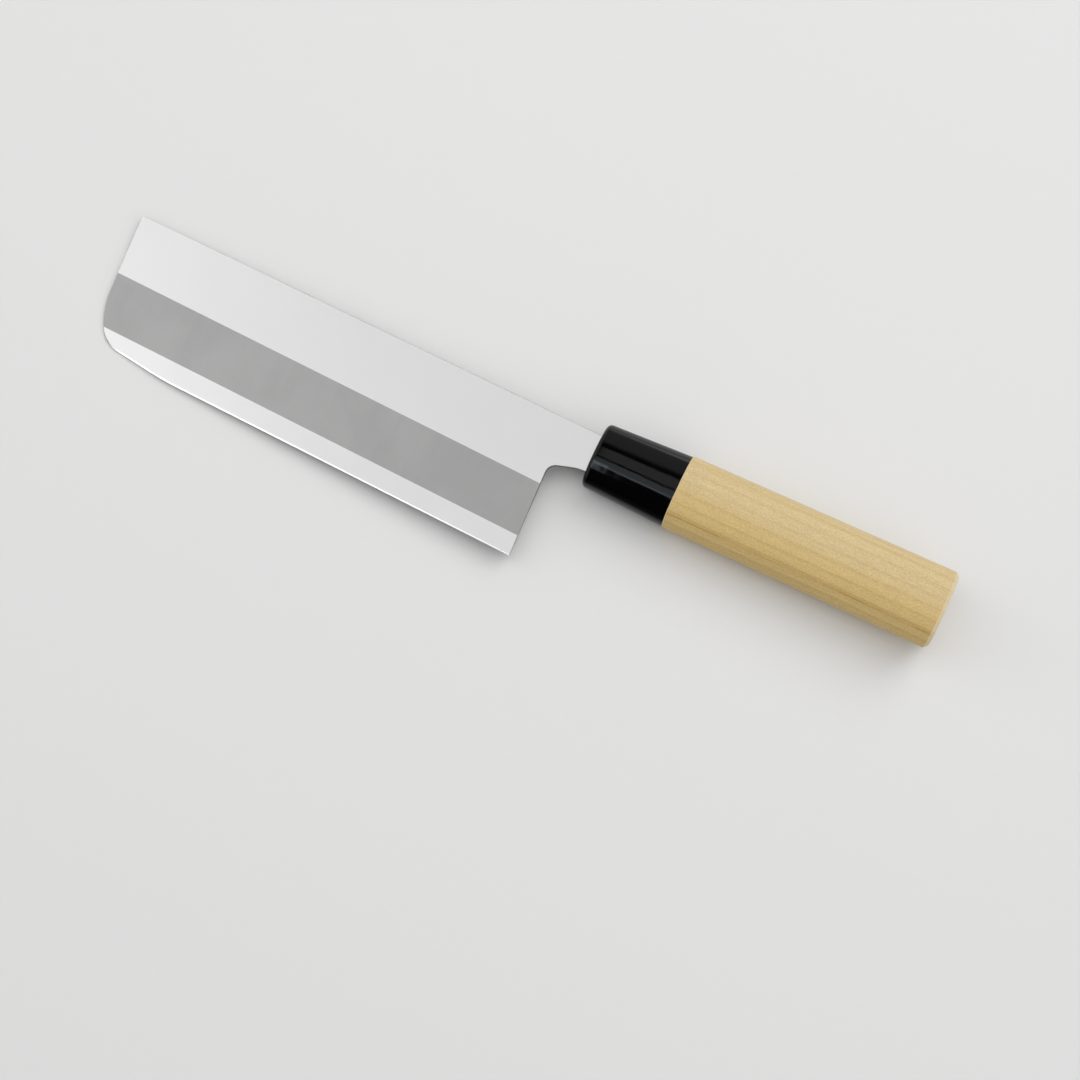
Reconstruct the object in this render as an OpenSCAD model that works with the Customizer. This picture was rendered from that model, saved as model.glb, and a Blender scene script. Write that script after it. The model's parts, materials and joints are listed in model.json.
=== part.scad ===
// Nakiri: a Japanese vegetable knife with an oval wooden handle and a plastic ferrule.
// It lies on its right side, as on a table. It has no moving part.
// Sizes are millimetres and angles are degrees.
//
// Each piece is drawn in the knife's own axes: X along the handle towards the butt with x = 0 at
// the front of the ferrule, Y towards the spine, Z out of the left face. The module as_it_lies
// then lays it down, with the table at z = 0 and the middle of its footprint at the origin.

/* [Blade] */
// Length of the spine, from the ferrule to the tip corner
spine_l = 177; // [140:1:230]
// Gap between the ferrule and the heel corner
heel_gap = 10; // [8:0.5:16]
// Height of the blade at the heel
blade_h = 49.6; // [40:0.1:65]
// Angle at which the edge closes on the spine towards the tip
edge_taper = 0.65; // [0:0.05:1]
// Angle by which the spine rises from the handle's axis towards the tip
blade_rise = 1.45; // [0:0.05:3]
// Thickness of the blade at the spine
blade_t = 1.8; // [1.4:0.1:3]
// Ease on the two long corners of the spine
spine_ease = 0.25; // [0.1:0.05:0.4]

/* [Grind] */
// Height of the bright band along the edge
band_h = 7.2; // [4:0.1:12]
// Height of the satin bevel above the band
bevel_h = 18.8; // [12:0.1:24]
// Thickness where the bevel meets the band
band_t = 0.85; // [0.6:0.05:1.2]
// Thickness where the band meets the keen bevel
edge_t = 0.3; // [0.2:0.02:0.5]
// Width of the keen bevel along the edge
keen_h = 0.45; // [0.3:0.05:1]
// Thickness of the edge itself
keen_t = 0.04; // [0.02:0.01:0.1]

/* [Front end] */
// Distance of the cheek's corner behind the tip corner
cheek_back = 3.6; // [1:0.1:8]
// Height of the cheek's corner above the edge
cheek_up = 12.6; // [8:0.1:18]
// Radius of the cheek
cheek_r = 30; // [10:1:34]
// Distance of the nose's corner behind the tip corner
nose_back = 10.2; // [9:0.1:16]
// Height of the nose's corner above the edge
nose_up = 2.4; // [1.5:0.1:4]
// Radius of the nose
nose_r = 10; // [4:0.5:11]
// Distance behind the tip corner at which the belly starts
belly_back = 34.5; // [25:0.5:50]
// Radius that blends the belly into the edge
belly_r = 110; // [40:5:180]

/* [Heel and neck] */
// Lean of the heel line from the edge towards the tip
heel_lean = 3.7; // [0:0.1:8]
// Height of the neck, centred on the handle's axis
neck_h = 13.3; // [10:0.1:16]
// Distance from the ferrule to the bend in the neck's lower edge
neck_bend = 2.6; // [1:0.1:5]
// Radius of the bend in the neck's lower edge
neck_r = 14; // [5:1:30]
// Drop of the notch's corner below the neck
notch_drop = 3.2; // [2:0.1:5]
// Radius of the notch
notch_r = 3.6; // [2:0.1:5]

/* [Tang] */
// Length of the tang behind the ferrule's front
tang_l = 78; // [50:1:100]
// Height of the tang at the ferrule
tang_h = 9; // [7:0.1:9.5]
// Height of the tang at its end
tang_end_h = 6; // [4:0.1:7]
// Step down from the blade's flats to the tang, on each side
tang_step = 0.1; // [0.05:0.05:0.3]

/* [Ferrule] */
// Length of the ferrule
ferrule_l = 29.9; // [20:0.1:40]
// Height of the ferrule at its front
ferrule_front_h = 22.6; // [21:0.1:26]
// Thickness of the ferrule at its front
ferrule_front_t = 16.2; // [14:0.1:20]
// Height of the ferrule where it meets the wood
ferrule_back_h = 25.2; // [23:0.1:30]
// Thickness of the ferrule where it meets the wood
ferrule_back_t = 17.2; // [15:0.1:22]
// Radius on the ferrule's front edge
ferrule_round = 1.5; // [0.5:0.1:2]
// Thickness of the ferrule's front wall
mouth_wall = 3; // [2:0.1:5]
// Least thickness of the ferrule's side wall
ferrule_wall = 2; // [1.5:0.1:2.6]

/* [Handle] */
// Length of the wood behind the ferrule
handle_l = 94.3; // [80:0.1:110]
// Height of the handle at the butt
butt_h = 26.8; // [23:0.1:32]
// Thickness of the handle at the butt
butt_t = 18.8; // [16:0.1:24]
// Height by which the wood stands proud of the ferrule
wood_proud = 0.25; // [0:0.05:0.6]
// Ease on the wood's front edge
wood_ease = 0.3; // [0.1:0.05:0.6]
// Chamfer around the butt
butt_ease = 1.2; // [0.4:0.1:2]
// Fullness of the oval, where 2 is an ellipse
oval_power = 2.25; // [2:0.1:3]

/* [Fits] */
// Clearance of the tang in the ferrule's mouth, on each side
mouth_fit = 0.15; // [0.05:0.05:0.4]
// Thickness of the adhesive around the tang
bedding_t = 0.6; // [0.3:0.1:1]
// Clearance of the tenon in the ferrule, on each side
tenon_fit = 0.1; // [0.05:0.05:0.3]
// Gap between the neck's shoulders and the ferrule
neck_gap = 0.15; // [0.1:0.05:0.5]

/* [Hidden] */

// Sides of every oval
sides = 96;
// Largest turn of one chord on a rounded corner
chord_turn = 5;
// Overlap of cutters past what they cut
past = 1;

// Height of the whole ground zone above the edge
grind_h = band_h + bevel_h;
// End of the handle on the handle's axis
butt_x = ferrule_l + handle_l;
// Thickness of the tang
tang_t = blade_t - 2 * tang_step;

// Height of the edge line below the spine line, at a distance u from the ferrule
function edge_v(u) = blade_h - (u - heel_gap) * tan(edge_taper);

// Half the blade's thickness at a height w above the edge line, before the keen bevel
function half_t(w) =
    w < band_h ? (edge_t + (band_t - edge_t) * max(w, 0) / band_h) / 2
    : w < grind_h ? (band_t + (blade_t - band_t) * (w - band_h) / bevel_h) / 2
    : blade_t / 2;

// A corner turned into a tangent arc that takes at most a share of each side next to it
function turned(a, b, c, r, share) =
    let (p = (a - b) / norm(a - b), q = (c - b) / norm(c - b))
    let (half = acos(max(-1, min(1, p * q))) / 2)
    let (run = min(r / tan(half), share * norm(a - b), share * norm(c - b)))
    let (radius = run * tan(half), middle = b + (p + q) / norm(p + q) * radius / sin(half))
    let (from = b + run * p - middle, to = b + run * q - middle)
    let (start = atan2(from[1], from[0]), turn = atan2(from[0] * to[1] - from[1] * to[0], from * to))
    let (steps = max(2, ceil(abs(turn) / chord_turn)))
    [for (i = [0:steps]) middle + radius * [cos(start + turn * i / steps), sin(start + turn * i / steps)]];

// The blade's corners as [distance from the ferrule, distance below the spine]
tip_corner = [spine_l, 0];
cheek_corner = [spine_l - cheek_back, edge_v(spine_l - cheek_back) - cheek_up];
nose_corner = [spine_l - nose_back, edge_v(spine_l - nose_back) - nose_up];
belly_corner = [spine_l - belly_back, edge_v(spine_l - belly_back)];
heel_corner = [heel_gap, blade_h];
notch_v = neck_h + notch_drop;
notch_corner = [heel_gap + (blade_h - notch_v) * tan(heel_lean), notch_v];
bend_corner = [neck_bend, neck_h];

// The sharpened stretch of the outline, from the heel round the nose
edge_path = concat(
    [heel_corner],
    turned(heel_corner, belly_corner, nose_corner, belly_r, 0.5),
    turned(belly_corner, nose_corner, cheek_corner, nose_r, 0.4),
    turned(nose_corner, cheek_corner, tip_corner, cheek_r, 0.59));
neck_path = concat(
    turned([-neck_bend, neck_h], bend_corner, notch_corner, neck_r, 0.49),
    turned(bend_corner, notch_corner, heel_corner, notch_r, 0.49));
blade_path = concat([[-neck_bend, 0], [-neck_bend, neck_h]], neck_path, edge_path, [tip_corner]);

// A point of the blade's plane in the knife's own axes
function on_blade(p) = [
    -p[0] * cos(blade_rise) - p[1] * sin(blade_rise),
    p[0] * sin(blade_rise) - p[1] * cos(blade_rise) + neck_h / 2];

// One oval section, as [towards the spine, out of the left face]
function oval(high, thick) = [for (i = [0:sides - 1])
    let (c = cos(360 * i / sides), s = sin(360 * i / sides))
    [high / 2 * sign(c) * pow(abs(c), 2 / oval_power), thick / 2 * sign(s) * pow(abs(s), 2 / oval_power)]];

// Support points: the lower corners at the front of the bevel, and the ferrule's lower front
function at_height(w) = [for (i = [1:len(edge_path) - 1])
    let (a = edge_path[i - 1], b = edge_path[i], wa = edge_v(a[0]) - a[1], wb = edge_v(b[0]) - b[1])
    if (wa < w && wb >= w) a + (b - a) * (w - wa) / (wb - wa)];
band_front = at_height(band_h)[0];
ridge_front = let (w = grind_h, a = edge_path[len(edge_path) - 1], d = tip_corner - a)
    a + d * (w - edge_v(a[0]) + a[1]) / (edge_v(tip_corner[0]) - edge_v(a[0]) + a[1]);
stand_a = concat(on_blade(band_front), [-band_t / 2]);
stand_b = concat(on_blade(ridge_front), [-blade_t / 2]);
stand_c = [ferrule_round, 0, -ferrule_front_t / 2];

// Tilt that brings the three support points onto the table
table_up = let (n = cross(stand_b - stand_a, stand_c - stand_a)) n / norm(n) * sign(n[2]);
lie_pitch = asin(table_up[0]);
lie_roll = atan2(table_up[1], table_up[2]);

// A point of the knife's own axes once the knife has rolled and pitched
function lain(p) =
    let (y = p[1] * cos(lie_roll) - p[2] * sin(lie_roll), z = p[1] * sin(lie_roll) + p[2] * cos(lie_roll))
    [p[0] * cos(lie_pitch) - z * sin(lie_pitch), y, p[0] * sin(lie_pitch) + z * cos(lie_pitch)];

// Footprint and lowest point of the knife as it lies
ferrule_ring = [for (p = oval(ferrule_front_h, ferrule_front_t)) lain([ferrule_round, p[0], p[1]])];
butt_ring = [for (p = oval(butt_h, butt_t)) lain([butt_x, p[0], p[1]])];
blade_ring = [for (p = blade_path) lain(concat(on_blade(p), [-half_t(edge_v(p[0]) - p[1])]))];
whole = concat(ferrule_ring, butt_ring, blade_ring);
low_x = min([for (p = whole) p[0]]);
high_x = max([for (p = whole) p[0]]);
low_y = min([for (p = whole) p[1]]);
high_y = max([for (p = whole) p[1]]);
table_z = min([for (p = whole) p[2]]);

module as_it_lies() {
    translate([-(low_x + high_x) / 2, -(low_y + high_y) / 2, -table_z])
        rotate([lie_roll, -lie_pitch, 0])
            children();
}

// Places what is drawn in the blade's plane, with x towards the handle and the spine at y = 0
module in_blade_plane() {
    translate([0, neck_h / 2, 0])
        rotate([0, 0, -blade_rise])
            children();
}

// Stands a profile of [y, z] points up along X
module along_x(from, to) {
    translate([from, 0, 0])
        rotate([90, 0, 90])
            linear_extrude(to - from)
                children();
}

// The blade's plate, cut to its outline
module blade_plate() {
    translate([0, 0, -blade_t])
        linear_extrude(2 * blade_t)
            polygon([for (p = blade_path) [-p[0], -p[1]]]);
}

// Wedge of the grind: a flat plate, the satin bevel and the edge band, all parallel to the edge
module ground_wedge() {
    steps = [-past, 0, band_h, grind_h, blade_h + 2 * past];
    profile = concat(
        [for (w = steps) [w, half_t(w)]],
        [for (i = [len(steps) - 1:-1:0]) [steps[i], -half_t(steps[i])]]);
    translate([-heel_gap, -blade_h, 0])
        rotate([0, 0, -edge_taper])
            along_x(-spine_l, heel_gap + 2 * past)
                polygon(profile);
}

// Plate with its two spine corners eased
module eased_plate() {
    half = blade_t / 2;
    along_x(-spine_l - past, 2 * past)
        polygon([
            [-blade_h - past, half], [-spine_ease, half], [0, half - spine_ease],
            [0, -half + spine_ease], [-spine_ease, -half], [-blade_h - past, -half]]);
}

// Cutter that bevels both faces along one chord of the sharpened outline
module keen_cut(a, b) {
    middle = (a + b) / 2;
    height = edge_v(middle[0]) - middle[1];
    steep = atan((half_t(height) - keen_t / 2) / keen_h);
    reach = keen_h + past;
    translate([-a[0], -a[1], 0])
        rotate([0, 0, atan2(a[1] - b[1], a[0] - b[0])])
            for (side = [-1, 1])
                along_x(-past, norm(b - a) + past)
                    polygon([
                        [past, side * keen_t / 2 - side * past * tan(steep)],
                        [-reach, side * (keen_t / 2 + reach * tan(steep))],
                        [past, side * (keen_t / 2 + reach * tan(steep))]]);
}

module blade() {
    color([0.76, 0.77, 0.78])
        as_it_lies() {
            intersection() {
                in_blade_plane()
                    difference() {
                        intersection() {
                            blade_plate();
                            ground_wedge();
                            eased_plate();
                        }
                        for (i = [1:len(edge_path) - 1])
                            if (edge_v(edge_path[i][0]) - edge_path[i][1] <= band_h)
                                keen_cut(edge_path[i - 1], edge_path[i]);
                    }
                translate([-2 * spine_l, -2 * blade_h, -2 * blade_t])
                    cube([2 * spine_l - neck_gap, 4 * blade_h, 4 * blade_t]);
            }
            tang();
        }
}

// The tang starts inside the neck, so that the two are one piece of steel
module tang() {
    translate([0, 0, -tang_t / 2])
        linear_extrude(tang_t)
            polygon([
                [-neck_bend, -tang_h / 2], [tang_l, -tang_end_h / 2],
                [tang_l, tang_end_h / 2], [-neck_bend, tang_h / 2]]);
}

// Skin through oval stations of [x, height, thickness]
module loft(stations) {
    points = [for (s = stations) for (p = oval(s[1], s[2])) [s[0], p[0], p[1]]];
    last = len(stations) - 1;
    walls = [for (k = [0:last - 1]) for (i = [0:sides - 1])
        let (a = k * sides + i, b = k * sides + (i + 1) % sides)
        each [[a, a + sides, b], [b, a + sides, b + sides]]];
    front = [for (i = [1:sides - 2]) [0, i, i + 1]];
    back = [for (i = [1:sides - 2]) [last * sides, last * sides + i + 1, last * sides + i]];
    polyhedron(points, concat(walls, front, back));
}

// The tenon's section, also used for its socket with a clearance
tenon_h = ferrule_front_h - 2 * ferrule_wall - 2 * tenon_fit;
tenon_t = ferrule_front_t - 2 * ferrule_wall - 2 * tenon_fit;

module ferrule() {
    steps = 5;
    nose = [for (i = [0:steps - 1])
        let (inset = ferrule_round * (1 - sin(90 * i / steps)), x = ferrule_round * (1 - cos(90 * i / steps)))
        [x, ferrule_front_h - 2 * inset, ferrule_front_t - 2 * inset]];
    color([0.09, 0.09, 0.1])
        as_it_lies()
            difference() {
                loft(concat(nose, [
                    [ferrule_round, ferrule_front_h, ferrule_front_t],
                    [ferrule_l, ferrule_back_h, ferrule_back_t]]));
                along_x(mouth_wall, ferrule_l + past)
                    polygon(oval(tenon_h + 2 * tenon_fit, tenon_t + 2 * tenon_fit));
                translate([-past, -tang_h / 2 - mouth_fit, -tang_t / 2 - mouth_fit])
                    cube([mouth_wall + 2 * past, tang_h + 2 * mouth_fit, tang_t + 2 * mouth_fit]);
            }
}

// The slot for the tang and its adhesive, from the tenon's face
slot_h = tang_h + 2 * bedding_t;
slot_t = tang_t + 2 * bedding_t;
tenon_x = mouth_wall + tenon_fit;
module tang_slot(front) {
    translate([front, -slot_h / 2, -slot_t / 2])
        cube([tang_l + bedding_t - front, slot_h, slot_t]);
}

module handle() {
    front_h = ferrule_back_h + 2 * wood_proud;
    front_t = ferrule_back_t + 2 * wood_proud;
    color([0.87, 0.78, 0.6])
        as_it_lies()
            difference() {
                union() {
                    loft([
                        [ferrule_l, front_h - 2 * wood_ease, front_t - 2 * wood_ease],
                        [ferrule_l + wood_ease, front_h, front_t],
                        [butt_x - butt_ease, butt_h, butt_t],
                        [butt_x, butt_h - 2 * butt_ease, butt_t - 2 * butt_ease]]);
                    along_x(tenon_x, ferrule_l + past)
                        polygon(oval(tenon_h, tenon_t));
                }
                tang_slot(0);
            }
}

// Adhesive that beds the tang in the handle
module tang_bedding() {
    color([0.82, 0.79, 0.7])
        as_it_lies()
            difference() {
                tang_slot(tenon_x);
                tang();
            }
}

blade();
ferrule();
handle();
tang_bedding();
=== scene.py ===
"""Nakiri knife: the visual model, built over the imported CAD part.

The blade, the ferrule and the handle are modelled anew over their CAD nodes, and the adhesive inside gets
its finish. The stage holds the table, the lights and the camera. The file is laid out as an add-on and run
as a script.

Lengths are metres. Each piece is drawn in the knife's own axes, X along the handle towards the butt from
the front of the ferrule, Y towards the spine, Z out of the left face, and is then laid down as the CAD part
lies.
"""

import json
import math

import bmesh
import bpy
from bpy.props import FloatProperty, FloatVectorProperty, PointerProperty
from mathutils import Matrix, Vector


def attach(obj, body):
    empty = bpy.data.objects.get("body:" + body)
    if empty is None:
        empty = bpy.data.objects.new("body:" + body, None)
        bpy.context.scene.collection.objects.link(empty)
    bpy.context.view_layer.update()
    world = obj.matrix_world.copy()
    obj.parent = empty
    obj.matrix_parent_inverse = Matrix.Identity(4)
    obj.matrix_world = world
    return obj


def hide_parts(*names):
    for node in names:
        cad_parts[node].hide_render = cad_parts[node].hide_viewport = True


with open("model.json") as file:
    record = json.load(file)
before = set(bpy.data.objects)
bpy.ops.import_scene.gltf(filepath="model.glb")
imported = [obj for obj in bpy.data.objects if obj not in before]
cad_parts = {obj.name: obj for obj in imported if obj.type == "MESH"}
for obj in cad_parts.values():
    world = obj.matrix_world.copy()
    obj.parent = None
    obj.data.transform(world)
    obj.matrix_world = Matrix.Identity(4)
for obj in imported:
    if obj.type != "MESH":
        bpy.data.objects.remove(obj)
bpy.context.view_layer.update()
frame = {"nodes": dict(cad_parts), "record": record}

bl_info = {
    "name": "Nakiri Knife",
    "version": (1, 0, 0),
    "blender": (4, 5, 0),
    "location": "View3D > Sidebar > Nakiri",
    "description": "Builds a vegetable knife with an oval wooden handle on a pale table",
    "category": "Add Mesh",
}

MM = 0.001
# Corners of an oval section
SECTION_SIDES = 96
# Largest turn between two corners of the blade's outline
ARC_STEP = math.radians(4)
# Places nearer than this count as one
SLACK = 1e-6
# Vertices nearer than this are joined
WELD = 1e-7
WHITE = (1.0, 1.0, 1.0)


def length(name, default, description):
    """A length in metres, given in millimetres."""
    return FloatProperty(name=name, description=description, default=default * MM, min=0.0, unit="LENGTH",
                         subtype="DISTANCE", precision=5)


def angle(name, default, description):
    """An angle, given in degrees."""
    return FloatProperty(name=name, description=description, default=math.radians(default), unit="ROTATION",
                         subtype="ANGLE")


def colour(name, default, description):
    """A linear colour."""
    return FloatVectorProperty(name=name, description=description, default=default, size=3, min=0.0, max=1.0,
                               subtype="COLOR")


class NakiriBlade(bpy.types.PropertyGroup):
    """Sizes and finishes of the blade and its tang."""

    spine_length: length("Spine Length", 177, "Spine from the ferrule to the tip corner")
    heel_gap: length("Heel Gap", 10, "Gap between the ferrule and the heel corner")
    height: length("Height", 49.6, "Height of the blade at the heel")
    edge_taper: angle("Edge Taper", 0.65, "Angle at which the edge closes on the spine")
    rise: angle("Blade Rise", 1.45, "Angle by which the spine rises from the handle's axis")
    thickness: length("Thickness", 1.8, "Thickness at the spine")
    spine_ease: length("Spine Ease", 0.25, "Ease on the two long corners of the spine")
    corner_ease: length("Corner Ease", 0.1, "Ease on the other corners that aren't sharpened")
    band_height: length("Band Height", 7.2, "Height of the bright band along the edge")
    bevel_height: length("Bevel Height", 18.8, "Height of the satin bevel above the band")
    band_thickness: length("Band Thickness", 0.85, "Thickness where the bevel meets the band")
    edge_thickness: length("Edge Thickness", 0.3, "Thickness where the band meets the keen bevel")
    keen_width: length("Keen Width", 0.45, "Width of the keen bevel along the edge")
    keen_thickness: length("Keen Thickness", 0.04, "Thickness of the edge itself")
    cheek_back: length("Cheek Back", 3.6, "Distance of the cheek's corner behind the tip corner")
    cheek_up: length("Cheek Height", 12.6, "Height of the cheek's corner above the edge")
    cheek_radius: length("Cheek Radius", 30, "Radius of the cheek")
    nose_back: length("Nose Back", 10.2, "Distance of the nose's corner behind the tip corner")
    nose_up: length("Nose Height", 2.4, "Height of the nose's corner above the edge")
    nose_radius: length("Nose Radius", 10, "Radius of the nose")
    belly_back: length("Belly Back", 34.5, "Distance behind the tip corner at which the belly starts")
    belly_radius: length("Belly Radius", 110, "Radius that blends the belly into the edge")
    heel_lean: angle("Heel Lean", 3.7, "Lean of the heel line towards the tip")
    neck_height: length("Neck Height", 13.3, "Height of the neck")
    neck_bend: length("Neck Bend", 2.6, "Distance from the ferrule to the bend in the neck")
    neck_radius: length("Neck Radius", 14, "Radius of the bend in the neck")
    notch_drop: length("Notch Drop", 3.2, "Drop of the notch's corner below the neck")
    notch_radius: length("Notch Radius", 3.6, "Radius of the notch")
    neck_gap: length("Neck Gap", 0.15, "Gap between the neck's shoulders and the ferrule")
    tang_length: length("Tang Length", 78, "Length of the tang behind the ferrule's front")
    tang_height: length("Tang Height", 9, "Height of the tang at the ferrule")
    tang_end_height: length("Tang End Height", 6, "Height of the tang at its end")
    tang_step: length("Tang Step", 0.1, "Step from the flats down to the tang, on each side")
    flat_colour: colour("Flat Colour", (0.70, 0.70, 0.70), "Polished steel of the flat")
    # The bevel's darker colour is partly its satin grind and partly painted shade for the dimmer reflection its
    # tilt catches.
    bevel_colour: colour("Bevel Colour", (0.402, 0.402, 0.40), "Satin steel of the wide bevel")
    band_colour: colour("Band Colour", (0.70, 0.70, 0.70), "Bright steel of the band along the edge")
    # The keen bevel's near-white colour is partly fresh-honed steel and partly a painted highlight along the
    # edge.
    keen_colour: colour("Edge Colour", (0.92, 0.92, 0.92), "Fresh steel of the keen bevel")
    side_colour: colour("Side Colour", (0.75, 0.745, 0.73), "Brushed steel of the spine and the eased corners")
    # Painted shade: the heel, notch and neck walls are the same steel as the spine, coloured dark for the shade
    # they lie in.
    wall_shade_colour: colour("Wall Colour", (0.26, 0.255, 0.24), "Blanked steel of the heel, the notch and the neck")


class NakiriFerrule(bpy.types.PropertyGroup):
    """Sizes and finish of the ferrule."""

    length: length("Length", 29.9, "Length of the ferrule")
    front_height: length("Front Height", 22.6, "Height at the front")
    front_thickness: length("Front Thickness", 16.2, "Thickness at the front")
    back_height: length("Back Height", 25.2, "Height where it meets the wood")
    back_thickness: length("Back Thickness", 17.2, "Thickness where it meets the wood")
    front_round: length("Front Round", 1.5, "Radius on the front edge")
    front_wall: length("Front Wall", 3, "Thickness of the front wall")
    side_wall: length("Side Wall", 2, "Least thickness of the side wall")
    mouth_fit: length("Mouth Fit", 0.15, "Clearance of the tang in the mouth, on each side")
    colour: colour("Colour", (0.0015, 0.0015, 0.0017), "Moulded black plastic")


class NakiriHandle(bpy.types.PropertyGroup):
    """Sizes and finish of the wooden handle."""

    length: length("Length", 94.3, "Length of the wood behind the ferrule")
    butt_height: length("Butt Height", 26.8, "Height at the butt")
    butt_thickness: length("Butt Thickness", 18.8, "Thickness at the butt")
    proud: length("Proud", 0.25, "Height by which the wood stands proud of the ferrule")
    front_ease: length("Front Ease", 0.3, "Ease on the wood's front edge")
    butt_ease: length("Butt Ease", 1.2, "Chamfer around the butt")
    fullness: FloatProperty(name="Oval Fullness", description="Fullness of the oval, where 2 is an ellipse",
                            default=2.25, min=2.0, max=3.0)
    tenon_fit: length("Tenon Fit", 0.1, "Clearance of the tenon in the ferrule, on each side")
    bedding: length("Bedding", 0.6, "Thickness of the adhesive around the tang")
    pale: colour("Pale Wood", (0.70, 0.545, 0.295), "The wood between its lines")
    # Warm wood is partly the wood's own tone and partly painted light: the lower side is painted warmer in
    # place of the sheen that pales the upper side.
    warm: colour("Warm Wood", (0.68, 0.495, 0.212), "The deeper wood towards the edge's side")
    line: colour("Grain Line", (0.46, 0.28, 0.06), "The darker lines of the grain")
    fresh: colour("Fresh Wood", (0.86, 0.74, 0.52), "The pale wood of the eased edges")
    vein_drop: length("Dark Line Drop", 9.4, "Distance of the dark line below the handle's axis")
    ring_phase: angle("Ring Phase", 300, "Shift of the growth lines across the handle")


class NakiriStage(bpy.types.PropertyGroup):
    """The table, the lights and the camera."""

    floor_colour: colour("Table Colour", (0.815, 0.815, 0.81), "The plain pale table")
    key_power: FloatProperty(name="Key Light", default=14.6, min=0.0,
                             description="Power of the soft light from the spine's side, in watts")
    fill_power: FloatProperty(name="Fill Light", default=5.0, min=0.0,
                              description="Power of each soft light at the ends, in watts")
    panel_light: FloatProperty(name="Ceiling Panels", description="Radiance of the panels over the knife",
                               default=1.0, min=0.0)
    focal: FloatProperty(name="Focal Length", description="Focal length in millimetres on a 36 mm sensor",
                         default=67.19, min=1.0)
    azimuth: angle("Camera Azimuth", 27.33, "Turn of the camera about the vertical")
    elevation: angle("Camera Elevation", 78.04, "Height of the camera above the table's plane")
    twist: angle("Camera Twist", -1.78, "Turn of the camera about its own line of sight")
    distance: length("Camera Distance", 669.9, "Distance from the camera to its aim on the table")
    aim: FloatVectorProperty(name="Camera Aim", description="Point on the table in the middle of the picture",
                             default=(0.0213, -0.01779, 0.0), size=3, subtype="TRANSLATION", unit="LENGTH")


# The knife's own axes and the parts of the record

def knife_matrix(scene):
    """Lays the knife's own axes where the CAD part lies, by the record's mounts on the butt and the flat."""
    mounts = {m["name"]: m for m in frame["record"]["mounts"]}
    along = Vector(mounts["butt_end"]["axis"]).normalized()
    out = Vector(mounts["blade_left_flat"]["axis"])
    out = (out - along * out.dot(along)).normalized()
    spine = out.cross(along)
    reach = scene.nakiri_ferrule.length + scene.nakiri_handle.length
    front = Vector(mounts["butt_end"]["pos_m"]) - along * reach
    turn = Matrix((along, spine, out)).transposed()
    return Matrix.Translation(front) @ turn.to_4x4()


def keep_piece(bm, name, node, finishes, knife):
    """Lays a finished bmesh down, makes it an object and lets it stand for its CAD node."""
    bmesh.ops.transform(bm, matrix=knife, verts=bm.verts)
    bmesh.ops.recalc_face_normals(bm, faces=bm.faces)
    mesh = bpy.data.meshes.new(name)
    bm.to_mesh(mesh)
    bm.free()
    for finish in finishes:
        mesh.materials.append(finish)
    piece = bpy.data.objects.new(name, mesh)
    bpy.context.scene.collection.objects.link(piece)
    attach(piece, "root")
    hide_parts(node)


def smooth_faces(bm, sharp):
    """Shades the faces smoothly, but for edges that part two finishes or turn by more than sharp degrees."""
    for face in bm.faces:
        face.smooth = True
    for edge in bm.edges:
        faces = edge.link_faces
        edge.smooth = (len(faces) == 2 and faces[0].material_index == faces[1].material_index
                       and edge.calc_face_angle(0.0) < math.radians(sharp))


# Node trees

def feed(tree, node, inputs):
    """Sets a node's inputs, each given as (socket, value or output socket)."""
    for socket, value in inputs:
        if isinstance(value, bpy.types.NodeSocket):
            tree.links.new(value, node.inputs[socket])
        else:
            node.inputs[socket].default_value = value
    return node


def add_node(tree, kind, inputs=(), **settings):
    """A shader node with its settings and inputs."""
    node = tree.nodes.new(kind)
    for key, value in settings.items():
        setattr(node, key, value)
    return feed(tree, node, inputs)


def add_math(tree, operation, *values, clamp=False):
    """A Math node's result."""
    node = add_node(tree, "ShaderNodeMath", enumerate(values), operation=operation, use_clamp=clamp)
    return node.outputs[0]


def add_range(tree, value, low, high, to_low=0.0, to_high=1.0):
    """Smoothly maps a value from one range to another."""
    node = add_node(tree, "ShaderNodeMapRange", [("Value", value), ("From Min", low), ("From Max", high),
                                                 ("To Min", to_low), ("To Max", to_high)],
                    interpolation_type="SMOOTHSTEP")
    return node.outputs[0]


def add_mix(tree, share, first, second):
    """A mix of two colours."""
    return add_node(tree, "ShaderNodeMix", [(0, share), (6, first), (7, second)], data_type="RGBA").outputs[2]


def add_scaled(tree, vector, scale):
    """A vector or a colour times a number."""
    return add_node(tree, "ShaderNodeVectorMath", [(0, vector), ("Scale", scale)], operation="SCALE").outputs[0]


def add_pulled(tree, vector, pull):
    """A vector times another, axis by axis."""
    return add_node(tree, "ShaderNodeVectorMath", [(0, vector), (1, pull)], operation="MULTIPLY").outputs[0]


def add_noise(tree, vector, scale, detail=2.0, roughness=0.5, distortion=0.0):
    """Noise between 0 and 1."""
    return add_node(tree, "ShaderNodeTexNoise", [
        ("Vector", vector), ("Scale", scale), ("Detail", detail), ("Roughness", roughness),
        ("Distortion", distortion)]).outputs[0]


def opaque(rgb):
    """A colour with an alpha of 1."""
    return (*rgb, 1.0)


def new_group(name, inputs, outputs):
    """A shader node group with named sockets. Returns the tree, its input node and its output node."""
    tree = bpy.data.node_groups.new(name, "ShaderNodeTree")
    for label, kind, default in inputs:
        socket = tree.interface.new_socket(label, in_out="INPUT", socket_type=kind)
        if default is not None:
            socket.default_value = default
    for label, kind in outputs:
        tree.interface.new_socket(label, in_out="OUTPUT", socket_type=kind)
    return tree, tree.nodes.new("NodeGroupInput"), tree.nodes.new("NodeGroupOutput")


def use_group(tree, group, inputs):
    """A node that uses a group."""
    node = tree.nodes.new("ShaderNodeGroup")
    node.node_tree = group
    return feed(tree, node, inputs)


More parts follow.
